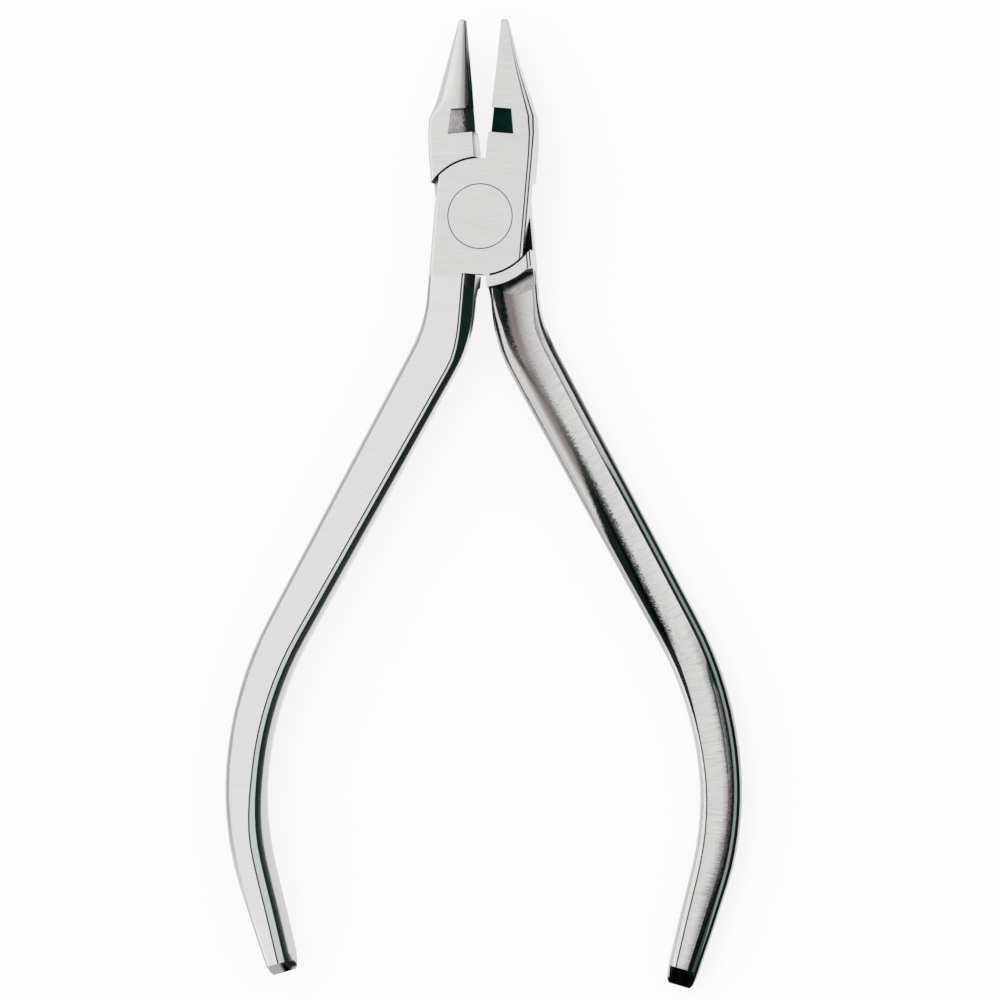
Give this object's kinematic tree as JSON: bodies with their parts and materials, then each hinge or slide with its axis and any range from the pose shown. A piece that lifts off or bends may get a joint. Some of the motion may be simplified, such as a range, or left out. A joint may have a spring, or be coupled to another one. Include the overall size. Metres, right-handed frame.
{
  "type": "orthodontic pliers",
  "caption": "Slim lap-joint orthodontic pliers: one square beak, one round tapering beak, a small wire cutter, a flush pivot rivet and bowed handles.",
  "frame": {"origin": "on the pivot axis at the back face of the rivet; the pliers lie flat on that face", "axes": "+Z along the pivot axis towards the pictured front face, +Y along the pliers towards the beaks, +X to the right of the picture, on the square beak's side"},
  "size_m": [0.0692, 0.1303, 0.0076],
  "materials": {
    "brushed_steel_front": "satin brushed",
    "brushed_steel_back": "satin brushed, polished flanks",
    "ground_steel_pivot": "ground flush"
  },
  "bodies": {
    "front": {"front_half": "brushed_steel_front", "pivot_rivet": "ground_steel_pivot"},
    "back": {"back_half": "brushed_steel_back"}
  },
  "joints": [
    {"name": "pivot", "type": "hinge", "parent": "front", "child": "back", "pos_m": [0, 0, 0], "axis": [0, 0, 1], "range_deg": [-10, 20]}
  ]
}
